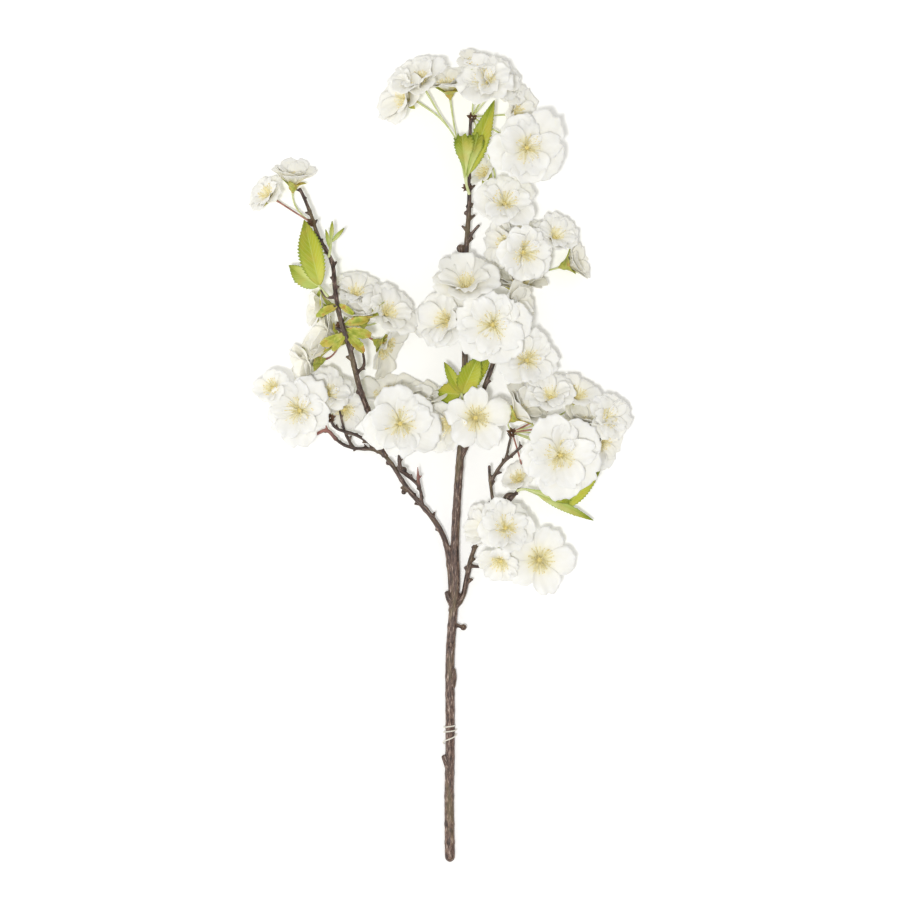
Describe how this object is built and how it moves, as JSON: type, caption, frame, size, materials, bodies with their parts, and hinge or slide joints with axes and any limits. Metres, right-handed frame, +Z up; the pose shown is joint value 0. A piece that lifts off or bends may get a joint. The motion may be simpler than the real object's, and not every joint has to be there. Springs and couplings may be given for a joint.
{
  "type": "cherry blossom sprig",
  "caption": "Forked sprig of double white cherry blossom with bare lower stem, open flowers in bunches, green cups, a few toothed leaves and a thread tie, lying on its side.",
  "frame": {"origin": "on the surface the sprig lies on, under the middle of its outline", "axes": "+Z up from the surface, +Y along the stem from the cut butt towards the flowering tip, +X to the right seen from above with the tip away"},
  "size_m": [0.2675, 0.5724, 0.0582],
  "materials": {
    "stem": "moulded bark",
    "thread": "twisted thread",
    "stalk": "satin",
    "petal": "pressed cloth",
    "leaf": "printed cloth"
  },
  "bodies": {
    "root": {"stem": "stem", "tie": "thread", "stalks_top": "stalk", "stalks_top_left": "stalk", "stalks_upper": "stalk", "stalks_middle": "stalk", "stalks_middle_left": "stalk", "stalks_centre": "stalk", "stalks_inner": "stalk", "stalks_left": "stalk", "stalks_riser": "stalk", "stalks_crown": "stalk", "stalks_right": "stalk", "stalks_low": "stalk", "bloom_top_1": "petal", "bloom_top_2": "petal", "bloom_top_3": "petal", "bloom_top_4": "petal", "bloom_top_left_1": "petal", "bloom_top_left_2": "petal", "bloom_upper_1": "petal", "bloom_upper_2": "petal", "bloom_upper_3": "petal", "bloom_upper_4": "petal", "bloom_upper_5": "petal", "bloom_upper_6": "petal", "bloom_middle_1": "petal", "bloom_middle_2": "petal", "bloom_middle_left_1": "petal", "bloom_middle_left_2": "petal", "bloom_centre_1": "petal", "bloom_centre_2": "petal", "bloom_inner_1": "petal", "bloom_inner_2": "petal", "bloom_left_1": "petal", "bloom_left_2": "petal", "bloom_left_3": "petal", "bloom_riser_1": "petal", "bloom_riser_2": "petal", "bloom_riser_3": "petal", "bloom_riser_4": "petal", "bloom_riser_5": "petal", "bloom_riser_6": "petal", "bloom_crown_1": "petal", "bloom_crown_2": "petal", "bloom_right_1": "petal", "bloom_right_2": "petal", "bloom_right_3": "petal", "bloom_right_4": "petal", "bloom_right_5": "petal", "bloom_right_6": "petal", "bloom_right_7": "petal", "bloom_low_1": "petal", "bloom_low_2": "petal", "bloom_low_3": "petal", "leaves_top": "leaf", "leaves_left": "leaf", "shoot": "leaf", "leaves_middle": "leaf", "leaves_right": "leaf"}
  },
  "joints": []
}
